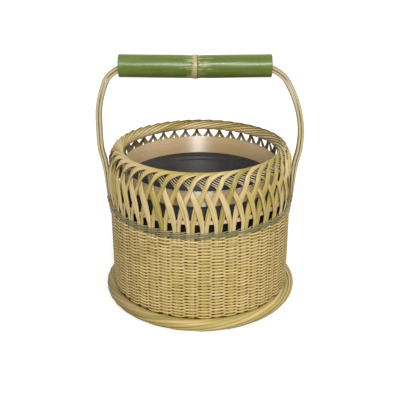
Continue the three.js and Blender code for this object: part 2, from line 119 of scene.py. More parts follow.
# Route of a collar strip. A row of a leg holds turn, radius where the strip rises, radius where it
# falls, height, width, the angle at which the face looks up, and its turn to the side. The other
# rows hold one radius.
LEG = [
    (0.148, WARP_RADIUS, WARP_RADIUS, STRIP_FOOT_HEIGHT, 0.0047, 0, 0),
    (0.148, WARP_RADIUS, WARP_RADIUS, TWINING_TOP, 0.0047, 0, 0),
    (0.17, 0.1132, 0.1144, 0.138, 0.0055, 0, 7),
    (0.3, 0.1129, 0.1147, 0.149, 0.0071, 0, 12),
    (0.5, 0.1129, 0.1147, 0.161, 0.0079, 0, 13),
    (0.73, 0.1134, 0.1139, 0.1705, 0.0067, 2, 14),
    (0.89, 0.1134, 0.1126, 0.1757, 0.0057, 8, 15),
    (1, 0.1130, 0.1110, 0.1806, 0.0053, 18, 18),
]
CURL_HEIGHT = 0.1858
CURL = (1.14, 0.1121, CURL_HEIGHT, 0.0057, 26, 20)
SURFACE = (1.18, 0.1094, 0.1832, 0.0022, 50, 10)
DIVE = (1.55, 0.1046, 0.1850, 0.0010, 90, 0)

# Rolled rim
ROLL_RADIUS = 0.1028
ROLL_HALF_WIDTH = 0.0070
ROLL_HALF_HEIGHT = 0.0071
ROLL_HEIGHT = ROLL_TOP - ROLL_HALF_HEIGHT
ROLL_SHRINK = 0.045

# Route on the roll. A row of the arch holds turn, angle on the roll, width and turn to the side.
# After the arch comes an even part along the inside of the roll.
ARCH = [(1.33, 9, 0.0059, 22), (1.52, 32, 0.0060, 18), (1.82, 57, 0.0058, 10), (2.14, 75, 0.0054, 4)]
ARCH_START = ARCH[0][0]
ROLL_TURNS = (2.6, 7)
ROLL_ANGLES = (88, 215)
ROLL_WIDTH = 0.0049
ROLL_KEYS = 7
SHINGLE_TILT = 20

# How the collar differs from place to place
BACK_SAG = 0.0021
BACK_NARROWING = 0.42
CROSSING_HEIGHT = CURL_HEIGHT - 0.008
CROSSING_REACH = 0.012
SIDE_WIDENING = 0.3
SIDE_FROM = 0.8
LEFT_WIDENING = 0.6
LEFT_DENSE = math.radians(-108)
LEFT_FROM = 0.75
LEAN_WIDENING = 0.15
LEG_FADE_LOW = 0.012
LEG_FADE_HIGH = 0.006
# Share of the inner face's painted shade that the legs keep; the roll has it in full
LEG_INNER_SHARE = 0.3
ROLL_FADE_FROM = 0.8
ROLL_FADE_TURNS = 0.7

# Fine ends of a strip, split where it dives under the roll. Rows hold turn, radius and height, and
# the step leads from one end to the next.
TAILS = 3
TAIL_WIDTH = 0.0009
TAIL_THICKNESS = 0.0005
TAIL_ROWS = [
    (-1.0, 0.1088, 0.1838),
    (-1.3, 0.1062, 0.1858),
    (-1.7, 0.1024, 0.1886),
    (-2.1, 0.0990, 0.1908),
]
TAIL_STEP = (0.09, -0.0008, 0.0022)
TAIL_EDGE = 1

# Hoop and band
HOOP_THICKNESS = 0.001
HOOP_EASE = 0.0003
HOOP_SEED = 3
BAND_THICKNESS = 0.0014
BAND_SEAT = 0.0006
BAND_EASE = 0.0005
BAND_SEED = 8
EASE_CORNER = 0.3
CUT_SHARE = 0.5

# Where the skin on the band's outer face ends and where its cut edge starts, below the top
BAND_SKIN_END = 0.0025
BAND_CUT_START = 0.0022222

# Fire pot. Rows hold the radius and the rise from the foot, or how far a point lies in from the rim
# and below the top or the seat. A rib's rows hold the share of its height and the depth.
POT_OUTSIDE = [(0.0005, 0), (0.080, 0), (0.083, 0.001), (0.084, 0.003)]
POT_SHOULDER_DEPTH = 0.0022
POT_SHOULDER_DROP = 0.003
RIBS = 5
RIB_PITCH = 0.003
RIB_ROWS = [(0.0, 0.0013), (0.18, 0.0005), (0.36, 0.0001), (0.55, 0.0), (0.75, 0.0003), (0.9, 0.0008)]
POT_EDGE = [(0.0004, 0.0002), (0.0009, 0), (0.0016, 0.0001)]
POT_BAND_GAP = 0.0001
POT_LIP_DROP = 0.0007
POT_SEAT_DROP = 0.0003
POT_SEAT_CORNER = 0.0004
POT_SEAT_WIDTH = 0.003
POT_STEP = [
    (0.0165, 0.0009), (0.017, 0.0013), (0.017, 0.0045), (0.0175, 0.005), (0.020, 0.0052), (0.0206, 0.0058),
]
POT_INSIDE = [(0.0768, 0.0085), (0.0752, 0.0056), (0.072, 0.005), (0.0005, 0.005)]
POT_SEED = 5

# Foot ring: strips wound round a ring at a shallow twist
FOOT_WRAPS = 9
FOOT_TWISTS = 3
FOOT_SHADES = (0.3, 0.5, 0.2, 0.45, 0.75, 0.35, 0.15, 0.55, 0.25)
FOOT_LINE = BODY_RADIUS + 0.0025
FOOT_TUBE = FOOT_RADIUS - FOOT_LINE
FOOT_HEIGHT = FOOT_TOP - FOOT_TUBE
FOOT_STEPS = 361
FOOT_SWAY = 0.9
FOOT_SWAY_START = 2.2
# Share of painted shade on the foot ring's left side
FOOT_LEFT_SHADE = 0.6
FOOT_STRIP_THICKNESS = 0.0016
FOOT_STRIP_LIFT = 1.2
FOOT_STRIP_OVERLAP = 1.12

# Outline of a foot strip: place across, as a share of its span, and lift, as a share of its thickness
FOOT_STRIP_OUTLINE = [
    (-0.58, -0.3), (-0.5, 0.1), (-0.25, 0.4), (0, 0.6), (0.25, 0.7), (0.44, 0.8), (0.5, 0.45), (0.42, -0.3),
]

# Base mat
BASE_STRIPS = 23
BASE_STEPS = 8
BASE_WAVE = 0.0009
BASE_STRIP_SHARE = 0.9
BASE_STRIP_THICKNESS = 0.0011

# Handle
SPLINT_WIDTH = 0.0084
SPLINT_THICKNESS = 0.0035
SPLINT_TIP_THICKNESS = 0.00105
SPLINT_TIP_HEIGHT = 0.104
SPLINT_SEAT = BODY_RADIUS + 0.0009
SPLINT_PARTING = 0.0005
SPLINT_WALL_OUT = 0.45
SPLINT_WALL_THICKNESS = 0.43
SPLINT_STEPS = 8
BOW_LINE = BODY_RADIUS + 0.010
BOW_HEIGHT = 0.217
BORE_GAP = 0.0006
BORE_SAG = 0.0003
HANDLE_LEAN = 0.006
OUTER_SEED = 18
INNER_SEED = 11

# Route of the splints. Rows beside the wall hold the place outward from the seat, the height and
# the thickness; places and thicknesses are shares of the splint's thickness. Rows of the bow hold
# shares of the reach inward and of the rise, and rows in the bore, shares of the grip's half and of
# the bore's radius.
WALL_KEYS = [
    (SPLINT_WALL_OUT, TWINING_TOP, SPLINT_WALL_THICKNESS),
    (0.92, 0.162, 0.86),
    (1.5, 0.1765, 1),
]
BOW_SHOULDER_SHARE = 0.025
BOW_KEYS = [(0, 0), (0.1, 0.35), (0.345, 0.66)]
BOW_ENTRY_SHARE = 0.565
BORE_KEYS = [(1, -0.3), (0.82, 0.18)]
BORE_HALFWAY = 0.5

# Where strands of the wall pass over the thin ends of the splints
COVER_HALF_WIDTH = SPLINT_WIDTH * 0.55
COVER_FADE = SPLINT_WIDTH * 0.6
COVER_LOW = SPLINT_TIP_HEIGHT - 0.002
COVER_RISE = 0.003
COVER_LIFT = 0.6

# Grip. Swells hold height, place and width; ripples hold height, waves round it and rate along it.
GRIP_RADIUS = 0.0137
GRIP_BORE = GRIP_RADIUS - 0.0024
GRIP_HEIGHT = (GRIP_LOW.z + GRIP_HIGH.z) / 2
GRIP_HALF = (GRIP_HIGH.x - GRIP_LOW.x) / 2
GRIP_MIDDLE = (GRIP_HIGH.x + GRIP_LOW.x) / 2
GRIP_BEND = 0.0009
GRIP_END_ROUND = 0.0006
GRIP_SIDES = 96
GRIP_STEPS = 366
GRIP_SWELLS = [(0.0007, 0, 0.0035), (-0.00025, 0.006, 0.003)]
GRIP_RIPPLES = [(0.00008, 3, 40), (0.00005, 7, 90)]

# Camera, fitted to the photograph
CAMERA_DISTANCE = 0.85
CAMERA_HEIGHT = 0.4946
CAMERA_PITCH = math.radians(23.83)
CAMERA_LENS = 64.53
CAMERA_SENSOR = 36
CAMERA_SHIFT = (-0.0005, 0.00175)

# Studio
FLOOR_HALF = 8.0
FLOOR_GLOW = 0.35
WORLD_LEVEL = 0.42
WHITE = (1, 1, 1, 1)
FLOOR_GREY = (0.72, 0.72, 0.72, 1)

rng = np.random.RandomState(7)


# Lines and directions

def new_seed():
    """A seed of its own for a strand, which its material turns into a tone."""
    return rng.uniform(0, SEED_RANGE)


def radial(azimuth, radius, height):
    """Points at an azimuth, a radius and a height."""
    return np.stack([radius * np.sin(azimuth), -radius * np.cos(azimuth), height + 0 * azimuth], -1)


def unit(vectors):
    return vectors / np.linalg.norm(vectors, axis=-1, keepdims=True)


def slope_of(points):
    """Direction of a line at each of its points."""
    return unit(np.gradient(points, axis=0))


def outward(points):
    """Level direction away from the basket's axis at each point."""
    return unit(points * LEVEL)


def square_frame(slope, face):
    """Across and face directions square to a slope, with the face as near as it can be to the given one."""
    across = unit(np.cross(slope, face))
    return across, unit(np.cross(across, slope))


def smooth_step(x):
    x = np.clip(x, 0, 1)
    return x * x * (3 - 2 * x)


def smooth_path(keys, places, steps):
    """Centripetal Catmull-Rom through rows of keys. Places are the same rows in space."""
    keys = np.asarray(keys, float)
    places = np.asarray(places, float)
    knots = np.concatenate([[0], np.cumsum(np.linalg.norm(np.diff(places, axis=0), axis=1) ** 0.5)])
    rows = np.vstack([2 * keys[0] - keys[1], keys, 2 * keys[-1] - keys[-2]])
    t = np.concatenate([[2 * knots[0] - knots[1]], knots, [2 * knots[-1] - knots[-2]]])
    out = []
    for i in range(1, len(keys)):
        p = rows[i - 1:i + 3]
        k = t[i - 1:i + 3]
        x = np.linspace(k[1], k[2], steps, endpoint=False)[:, None]
        a1 = (k[1] - x) / (k[1] - k[0]) * p[0] + (x - k[0]) / (k[1] - k[0]) * p[1]
        a2 = (k[2] - x) / (k[2] - k[1]) * p[1] + (x - k[1]) / (k[2] - k[1]) * p[2]
        a3 = (k[3] - x) / (k[3] - k[2]) * p[2] + (x - k[2]) / (k[3] - k[2]) * p[3]
        b1 = (k[2] - x) / (k[2] - k[0]) * a1 + (x - k[0]) / (k[2] - k[0]) * a2
        b2 = (k[3] - x) / (k[3] - k[1]) * a2 + (x - k[1]) / (k[3] - k[1]) * a3
        out.append((k[2] - x) / (k[2] - k[1]) * b1 + (x - k[1]) / (k[2] - k[1]) * b2)
    out.append(keys[-1:])
    return np.vstack(out)


# Mesh building

# Cross sections of a strand: across and lift, as shares of its width and thickness
FLAT_SECTION = np.array([
    (-0.5, 0.1), (-0.43, 0.46), (0, 0.56), (0.43, 0.46), (0.5, 0.1),
    (0.5, -0.25), (0.43, -0.5), (0, -0.5), (-0.43, -0.5), (-0.5, -0.25),
])
ROUND_SECTION = np.array([
    (-0.5, 0), (-0.34, 0.42), (0, 0.5), (0.34, 0.42), (0.5, 0), (0.34, -0.42), (0, -0.5), (-0.34, -0.42),
])

# Each vertex carries five values: length along its strand, place across it, the strand's seed, the share
# across (0.5 at the edges) and how much painted shade it takes: on a strand's inner face, on the wefts at
# the basket's two sides and on the foot ring at the left.
EDGE = 3
INNER = 4


def grid_quads(rows, columns, closed):
    """Quads over a grid of points whose columns close up. Open rows get a cap at both ends."""
    starts = np.arange(rows if closed else rows - 1)
    i, k = np.meshgrid(starts, np.arange(columns), indexing="ij")
    after = (i + 1) % rows
    beside = (k + 1) % columns
    corners = [i * columns + k, i * columns + beside, after * columns + beside, after * columns + k]
    quads = np.stack(corners, -1).reshape(-1, 4)
    if closed:
        return quads
    half = np.arange(columns // 2 - 1)
    cap = np.stack([half, half + 1, columns - 2 - half, columns - 1 - half], -1)
    return np.vstack([quads, cap[:, ::-1], cap + (rows - 1) * columns])


def grid_mesh(points, values, closed):
    """Vertices, quads and vertex values from a grid of points and a list of values over it."""
    rows, columns = points.shape[:2]
    data = np.stack([np.broadcast_to(value, (rows, columns)) for value in values], -1).astype(float)
    return points.reshape(-1, 3), grid_quads(rows, columns, closed), data.reshape(-1, len(values))


def strand(centre, across, face, width, thickness, section, seed, closed=False):
    """One strand with a section along a line of centres."""
    width = np.broadcast_to(np.asarray(width, float), len(centre))
    thickness = np.broadcast_to(np.asarray(thickness, float), len(centre))
    side = section[None, :, 0] * width[:, None]
    lift = section[None, :, 1] * thickness[:, None]
    points = centre[:, None] + side[..., None] * across[:, None] + lift[..., None] * face[:, None]
    length = np.concatenate([[0], np.cumsum(np.linalg.norm(np.diff(centre, axis=0), axis=1))])
    inner = np.clip(-2 * section[:, 1], 0, 1)
    return grid_mesh(points, [length[:, None], side, seed, section[:, 0], inner], closed)


def join_strands(strands):
    """Points, quads and data of all the strands, with the quads looking outwards."""
    points, quads, data = [], [], []
    count = 0
    for strand_points, strand_quads, strand_data in strands:
        points.append(strand_points)
        quads.append(strand_quads + count)
        data.append(strand_data)
        count += len(strand_points)
    points, quads, data = np.vstack(points), np.vstack(quads), np.vstack(data)
    a, b, c = (points[quads[:, i]] for i in range(3))
    if np.einsum("ij,ij->", a, np.cross(b, c)) < 0:
        quads = quads[:, ::-1]
    return points, quads, data


def add_values(mesh, name, kind, values):
    """A named value at each vertex, for the materials."""
    field = "vector" if kind == "FLOAT_VECTOR" else "value"
    layer = mesh.attributes.new(name, kind, "POINT")
    layer.data.foreach_set(field, values.astype(np.float32).ravel())


def make_piece(name, strands, material, nodes, body="basket"):
    """One piece from strands, which rides on a body and stands for nodes of the frame."""
    points, quads, data = join_strands(strands)
    mesh = bpy.data.meshes.new(name)
    mesh.vertices.add(len(points))
    mesh.vertices.foreach_set("co", points.astype(np.float32).ravel())
    mesh.loops.add(quads.size)
    mesh.loops.foreach_set("vertex_index", quads.astype(np.int32).ravel())
    mesh.polygons.add(len(quads))
    mesh.polygons.foreach_set("loop_start", np.arange(0, quads.size, 4, dtype=np.int32))
    mesh.update(calc_edges=True)
    mesh.validate()
    mesh.polygons.foreach_set("use_smooth", [True] * len(mesh.polygons))
    add_values(mesh, "strand", "FLOAT_VECTOR", data[:, :EDGE])
    add_values(mesh, "edge", "FLOAT", np.abs(data[:, EDGE]))
    # inner: how much painted shade each vertex takes
    add_values(mesh, "inner", "FLOAT", data[:, INNER])
    mesh.materials.append(material)
    piece = bpy.data.objects.new(name, mesh)
    bpy.context.scene.collection.objects.link(piece)
    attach(piece, body)
    if nodes:
        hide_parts(*nodes)


# Materials

def colour(red, green, blue):
    """A colour given as it looks on screen, 0 to 255, for a shader."""
    shares = np.array([red, green, blue]) / 255
    linear = np.where(shares <= 0.04045, shares / 12.92, ((shares + 0.055) / 1.055) ** 2.4)
    return (*linear.tolist(), 1)


class Shader:
    """A material made of nodes. A socket given as a value is linked, anything else is set."""

    def __init__(self, name):
        self.material = bpy.data.materials.new(name)
        self.material.use_nodes = True
        self.tree = self.material.node_tree
        self.surface = self.tree.nodes["Principled BSDF"].inputs

    def put(self, socket, value):
        if isinstance(value, bpy.types.NodeSocket):
            self.tree.links.new(value, socket)
        else:
            socket.default_value = value

    def look(self, inputs):
        """Sets or links inputs of the surface itself."""
        for name, value in inputs.items():
            self.put(self.surface[name], value)

    def node(self, kind, inputs=(), **settings):
        made = self.tree.nodes.new(kind)
        for name, value in settings.items():
            setattr(made, name, value)
        for name, value in dict(inputs).items():
            self.put(made.inputs[name], value)
        return made

    def maths(self, operation, first, second=0.0, third=0.0):
        inputs = {0: first, 1: second, 2: third}
        return self.node("ShaderNodeMath", inputs, operation=operation).outputs[0]

    def spread(self, value, share, middle):
        """A value from 0 to 1, taken about its half, times a share and round a new middle."""
        return self.maths("MULTIPLY_ADD", self.maths("SUBTRACT", value, 0.5), share, middle)

    def noise(self, place, scale=1.0, detail=3.0, roughness=0.5):
        inputs = {"Vector": place, "Scale": scale, "Detail": detail, "Roughness": roughness}
        return self.node("ShaderNodeTexNoise", inputs).outputs["Fac"]

    def grain(self, place, rates, detail=3.0, roughness=0.5):
        """Noise stretched by a rate on each of the first two axes of a place."""
        first, second, third = place
        x = self.maths("MULTIPLY", first, rates[0])
        y = self.maths("MULTIPLY", second, rates[1])
        return self.noise(self.join(x, y, third), detail=detail, roughness=roughness)

    def join(self, x, y, z):
        return self.node("ShaderNodeCombineXYZ", {0: x, 1: y, 2: z}).outputs[0]

    def split(self, vector):
        return self.node("ShaderNodeSeparateXYZ", {0: vector}).outputs

    def ramp(self, value, stops):
        node = self.node("ShaderNodeValToRGB", {0: value})
        elements = node.color_ramp.elements
        while len(elements) < len(stops):
            elements.new(0.5)
        for element, (place, tone) in zip(elements, stops):
            element.position = place
            element.color = tone
        return node.outputs["Color"]

    def mix(self, share, first, second, blend="MIX"):
        node = self.node("ShaderNodeMix", data_type="RGBA", blend_type=blend)
        self.put(node.inputs["Factor"], share)
        colours = [socket for socket in node.inputs if socket.type == "RGBA"]
        self.put(colours[0], first)
        self.put(colours[1], second)
        return next(socket for socket in node.outputs if socket.type == "RGBA")

    def range(self, value, low, high, new_low=0.0, new_high=1.0):
        inputs = {"Value": value, "From Min": low, "From Max": high, "To Min": new_low, "To Max": new_high}
        return self.node("ShaderNodeMapRange", inputs).outputs[0]

    def bump(self, height, strength, distance):
        inputs = {"Height": height, "Strength": strength, "Distance": distance}
        self.look({"Normal": self.node("ShaderNodeBump", inputs).outputs[0]})

    def attribute(self, name, output="Fac"):
        return self.node("ShaderNodeAttribute", attribute_name=name).outputs[output]


# Tones of the bamboo, as they look on screen
EDGE_TONE = (232, 212, 164)
# Painted shade on the wefts' inner faces and at the basket's two sides
INNER_SHADE_TONE = (96, 74, 44)
SPLIT_TONE = (244, 228, 190)
BASE_TONES = [(160, 142, 72), (190, 168, 94), (208, 186, 116), (222, 196, 140), (184, 166, 86)]
# Warps toned darker than the wefts, partly as painted shade for their recessed place
WARP_TONES = [(172, 146, 74), (196, 167, 92), (216, 184, 117), (188, 159, 82)]
# Painted shade: dark brown tones of the strips behind the wefts
BACKING_SHADE_TONES = [(138, 92, 36), (152, 104, 44), (168, 120, 54)]
WEFT_TONES = [(196, 172, 90), (222, 196, 116), (238, 210, 140), (250, 222, 168), (216, 192, 102)]
# Painted shade along the wefts' edges, between the rows
WEFT_EDGE_SHADE = (114, 80, 30)
COLLAR_TONES = [(162, 146, 68), (192, 170, 84), (213, 189, 107), (238, 211, 161), (182, 166, 74)]
# Painted shade along the collar strips' edges
COLLAR_EDGE_SHADE = (134, 98, 50)
# Painted shade on the collar strips' inner faces
COLLAR_INNER_SHADE = (92, 74, 50)
TWINING_TONES = [(94, 98, 66), (126, 126, 86), (160, 150, 108), (132, 130, 80), (194, 168, 132)]
# Painted shade along the twining strands' edges, where they meet
TWINING_EDGE_SHADE = (62, 60, 34)
FOOT_TONES = [(172, 154, 80), (200, 180, 104), (222, 196, 126), (238, 212, 164), (192, 174, 94)]
# Painted shade along the foot strips' edges, where they meet
FOOT_EDGE_SHADE = (96, 74, 32)
# Painted shade on the foot ring's left side
FOOT_SHADE_TONE = (118, 98, 38)
HOOP_TONES = [(236, 200, 168), (246, 216, 186), (232, 200, 158)]
BAND_TONES = [(208, 164, 88), (222, 178, 102), (232, 188, 110)]
BAND_EDGE = (150, 150, 112)
SPLINT_TONES = [(126, 122, 70), (146, 138, 82), (164, 150, 92), (138, 130, 74)]
SPLINT_EDGE = (226, 204, 166)

# Grain of split bamboo. Rates are per metre along a strand and across it.
DRIFT_ALONG = 14
DRIFT_ACROSS = 160
COLLAR_DRIFT_ACROSS = 420
DRIFT_STRENGTH = 3.2
FIBRE_RATES = (35, 2600)
FIBRE_LIFT = 0.35
FIBRE_BUMP = 0.25
GRAIN_DEPTH = 0.0004
GRAIN_ROUGHNESS = 0.6
GRAIN_LOW = 0.3
GRAIN_HIGH = 0.7
SEED_STEP = 0.618
EDGE_FULL = 0.495
EDGE_STRENGTH = 0.75
SPLIT_FROM = 0.7
SPLIT_FULL = 0.9
DULLER = 0.1
GLOSSIER = 0.08
BAND_GLOSS_INDEX = 2.5
QUARTER_TURN = 0.25


def bamboo(name, tones, roughness=0.48, streak=0.28, blotch=0.5, shade_strength=0.0, own_share=0.5,
           edge_tone=EDGE_TONE, painted_shade_tone=INNER_SHADE_TONE, edge_share=0.45, drift_across=DRIFT_ACROSS):
    """Split bamboo: each strand has a tone that drifts along it, fine fibres, a tone at the edges that on
    some strands is painted shade between them, a pale tone at split ends, and painted shade where the inner
    value gives it: on inner faces and at the basket's sides."""
    made = Shader(name)
    along, across, seed = made.split(made.attribute("strand", "Vector"))
    drift = made.grain((along, across, seed), (DRIFT_ALONG, drift_across), roughness=GRAIN_ROUGHNESS)
    fibre = made.grain((along, across, seed), FIBRE_RATES, roughness=GRAIN_ROUGHNESS)
    own = made.maths("FRACT", made.maths("MULTIPLY", seed, SEED_STEP))
    tone = made.spread(drift, DRIFT_STRENGTH * blotch, made.spread(own, own_share, 0.5))
    stops = [(i / (len(tones) - 1), colour(*rgb)) for i, rgb in enumerate(tones)]
    shade = made.range(fibre, GRAIN_LOW, GRAIN_HIGH, 1 - streak, 1 + streak * FIBRE_LIFT)
    skin = made.mix(1.0, made.ramp(tone, stops), made.join(shade, shade, shade), "MULTIPLY")
    # Edges take the edge tone: a pale cut edge on some strands, painted shade between strands on others.
    share = made.attribute("edge")
    edge = made.range(share, edge_share, EDGE_FULL, 0.0, EDGE_STRENGTH)
    # Painted shade: the inner value times its strength mixes in the shade tone.
    inner = made.maths("MULTIPLY", made.attribute("inner"), shade_strength)
    face = made.mix(inner, made.mix(edge, skin, colour(*edge_tone)), colour(*painted_shade_tone))
    split_end = made.range(share, SPLIT_FROM, SPLIT_FULL)
    made.look({
        "Base Color": made.mix(split_end, face, colour(*SPLIT_TONE)),
        "Roughness": made.range(fibre, GRAIN_LOW, GRAIN_HIGH, roughness + DULLER, roughness - GLOSSIER),
    })
    made.bump(fibre, FIBRE_BUMP, GRAIN_DEPTH)
    return made


def weft_bamboo():
    # Painted shade along the edges, between the rows, on the inner faces and at the basket's two sides
    made = bamboo("weft bamboo", WEFT_TONES, roughness=0.5, shade_strength=0.6, edge_tone=WEFT_EDGE_SHADE,
                  edge_share=0.32)
    return made.material


def warp_bamboo():
    return bamboo("warp bamboo", WARP_TONES, roughness=0.55, edge_tone=WARP_TONES[0]).material


def backing_shade_bamboo():
    # Dark tones that put painted shade in the holes of the weave
    return bamboo("backing painted shade", BACKING_SHADE_TONES, roughness=0.6, edge_tone=BACKING_SHADE_TONES[0]).material


def base_bamboo():
    return bamboo("base bamboo", BASE_TONES, roughness=0.5).material


def collar_bamboo():
    # Painted shade along the edges and on the inner faces of the strips
    made = bamboo("collar bamboo", COLLAR_TONES, roughness=0.42, streak=0.36, shade_strength=1.0, own_share=0.7,
                  edge_tone=COLLAR_EDGE_SHADE, painted_shade_tone=COLLAR_INNER_SHADE, edge_share=0.4,
                  drift_across=COLLAR_DRIFT_ACROSS)
    return made.material


def twining_bamboo():
    # Painted shade along the strands' edges, where they meet
    made = bamboo("twining bamboo", TWINING_TONES, roughness=0.5, own_share=0.9, edge_tone=TWINING_EDGE_SHADE,
                  edge_share=0.33)
    return made.material


def foot_bamboo():
    # Painted shade along the strips' edges and on the ring's left side
    made = bamboo("foot ring bamboo", FOOT_TONES, roughness=0.4, streak=0.3, blotch=0.3, own_share=0.9,
                  shade_strength=1.0, edge_tone=FOOT_EDGE_SHADE, painted_shade_tone=FOOT_SHADE_TONE, edge_share=0.4)
    return made.material


def hoop_bamboo():
    return bamboo("hoop bamboo", HOOP_TONES, roughness=0.45).material


def band_bamboo():
    """The wide hoop's waxed skin, whose gloss is drawn out by its fibres."""
    made = bamboo("band bamboo", BAND_TONES, roughness=0.46, streak=0.3, edge_tone=BAND_EDGE)
    made.look({
        "Anisotropic": 1.0,
        "Anisotropic Rotation": QUARTER_TURN,
        "Specular IOR Level": 1.0,
        "IOR": BAND_GLOSS_INDEX,
        "Tangent": made.node("ShaderNodeTangent", direction_type="RADIAL", axis="Z").outputs[0],
    })
    return made.material


def splint_bamboo():
    made = bamboo("splint bamboo", SPLINT_TONES, roughness=0.42, streak=0.2, edge_tone=SPLINT_EDGE,
                  edge_share=0.43)
    return made.material


# Dark pot. Stops hold the place on the ramp and the tone.
POT_FINE_RATE = 900.0
POT_BROAD_RATE = 28.0
POT_BROAD_ROUGHNESS = 0.55
POT_STOPS = [(0.3, (36, 35, 34)), (0.55, (48, 47, 46)), (0.75, (64, 63, 64))]
POT_GLOSS = (0.42, 0.62)
POT_METALLIC = 0.15
POT_BUMP = 0.25


def toned(stops):
    """Stops of a ramp with their tones as a shader takes them."""
    return [(place, colour(*tone)) for place, tone in stops]


def pot_surface():
    """Dark grey ware, dull and a little mottled."""
    made = Shader("dark pot")
    place = made.node("ShaderNodeTexCoord").outputs["Object"]
    fine = made.noise(place, POT_FINE_RATE, roughness=GRAIN_ROUGHNESS)
    broad = made.noise(place, POT_BROAD_RATE, roughness=POT_BROAD_ROUGHNESS)
    made.look({
        "Base Color": made.ramp(broad, toned(POT_STOPS)),
        "Roughness": made.range(fine, GRAIN_LOW, GRAIN_HIGH, *POT_GLOSS),
        "Metallic": POT_METALLIC,
    })
    made.bump(fine, POT_BUMP, GRAIN_DEPTH)
    return made.material


# Green culm. Rates are per metre along it and per radian round it.
STREAK_RATES = (14, 16)
STREAK_DETAIL = 4.0
STREAK_STOPS = [(0.25, (70, 90, 14)), (0.5, (92, 112, 26)), (0.75, (122, 136, 54))]
STREAK_BUMP = 0.12
STREAK_DEPTH = 0.0005
CULM_GLOSS = (0.24, 0.36)
CLOUD_RATES = (45, 1.5)
CLOUD_LAYER = 3.0
CLOUD_RANGE = (0.4, 0.75, 0.0, 0.35)
CLOUD_TONE = (128, 138, 84)
RAGGED_RATES = (70, 5)
RAGGED_LAYER = 9.0
NODE_RAGGED = 0.012
NODE_RANGE = (0.0022, 0.0034, 1.0, 0.0)
NODE_TONE = (192, 172, 126)
FRAY_RATES = (55, 9)
FRAY_LAYER = 5.0
FRAY_ROUGHNESS = 0.65
FRAY_REACH = (0.003, 0.028, 0.11, -0.10)
FRAY_RANGE = (0.58, 0.64, 0.0, 0.75)
FRAY_TONE = (196, 190, 142)
SCAR_OFFSET = 0.003
SCAR_RAGGED = 0.002
SCAR_RANGE = (0.0005, 0.0009, 0.85, 0.0)
SCAR_TONE = (82, 78, 44)


def green_culm_surface():
    """Green bamboo skin with faint streaks, and a ragged pale band with a dark line at the node."""
    made = Shader("green culm")
    x, y, z = made.split(made.node("ShaderNodeTexCoord").outputs["Object"])
    around = made.maths("ARCTAN2", made.maths("SUBTRACT", z, GRIP_HEIGHT), y)
    streak = made.grain((x, around, 0.0), STREAK_RATES, STREAK_DETAIL, GRAIN_ROUGHNESS)
    cloud = made.grain((x, around, CLOUD_LAYER), CLOUD_RATES)
    ragged = made.grain((x, around, RAGGED_LAYER), RAGGED_RATES)
    fray = made.grain((x, around, FRAY_LAYER), FRAY_RATES, STREAK_DETAIL, FRAY_ROUGHNESS)
    from_node = made.maths("ABSOLUTE", made.maths("SUBTRACT", x, GRIP_MIDDLE))
    from_scar = made.maths("ABSOLUTE", made.maths("SUBTRACT", x, GRIP_MIDDLE + SCAR_OFFSET))
    fray = made.maths("ADD", fray, made.range(from_node, *FRAY_REACH))
    tone = made.ramp(streak, toned(STREAK_STOPS))
    tone = made.mix(made.range(cloud, *CLOUD_RANGE), tone, colour(*CLOUD_TONE))
    tone = made.mix(made.range(fray, *FRAY_RANGE), tone, colour(*FRAY_TONE))
    pared = made.range(made.spread(ragged, NODE_RAGGED, from_node), *NODE_RANGE)
    tone = made.mix(pared, tone, colour(*NODE_TONE))
    scar = made.range(made.spread(ragged, SCAR_RAGGED, from_scar), *SCAR_RANGE)
    made.look({
        "Base Color": made.mix(scar, tone, colour(*SCAR_TONE)),
        "Roughness": made.range(streak, GRAIN_LOW, GRAIN_HIGH, *CULM_GLOSS),
    })
    made.bump(streak, STREAK_BUMP, STREAK_DEPTH)
    return made.material


# Weave

def splint_outer_at(height):
    """Radius of the outer splint's face beside the wall."""
    share = np.clip((height - SPLINT_TIP_HEIGHT) / (TWINING_TOP - SPLINT_TIP_HEIGHT), 0, 1)
    near = BODY_RADIUS + SPLINT_TIP_THICKNESS / 2
    far = SPLINT_SEAT + (SPLINT_WALL_OUT + SPLINT_WALL_THICKNESS) * SPLINT_THICKNESS
    return near + (far - near) * share


def over_splints(azimuth, radius, height, thickness, lifted):
    """Radius of a strand that passes over the splint tips where it runs in front."""
    away = np.minimum(np.abs(np.sin(azimuth) - 1), np.abs(np.sin(azimuth) + 1))
    along = np.sqrt(2 * away) * BODY_RADIUS
    window = 1 - smooth_step((along - COVER_HALF_WIDTH) / COVER_FADE)
    covered = smooth_step((height - COVER_LOW) / COVER_RISE)
    needed = splint_outer_at(height) + thickness * COVER_LIFT
    return radius + window * covered * lifted * np.maximum(needed - radius, 0)


def in_front(turn):
    """1 where a weaver lies over a pair and -1 where it lies behind, at even and odd pairs."""
    return np.sin(math.pi / 2 * np.clip(WEAVER_FLATNESS * np.cos(math.pi * turn), -1, 1))


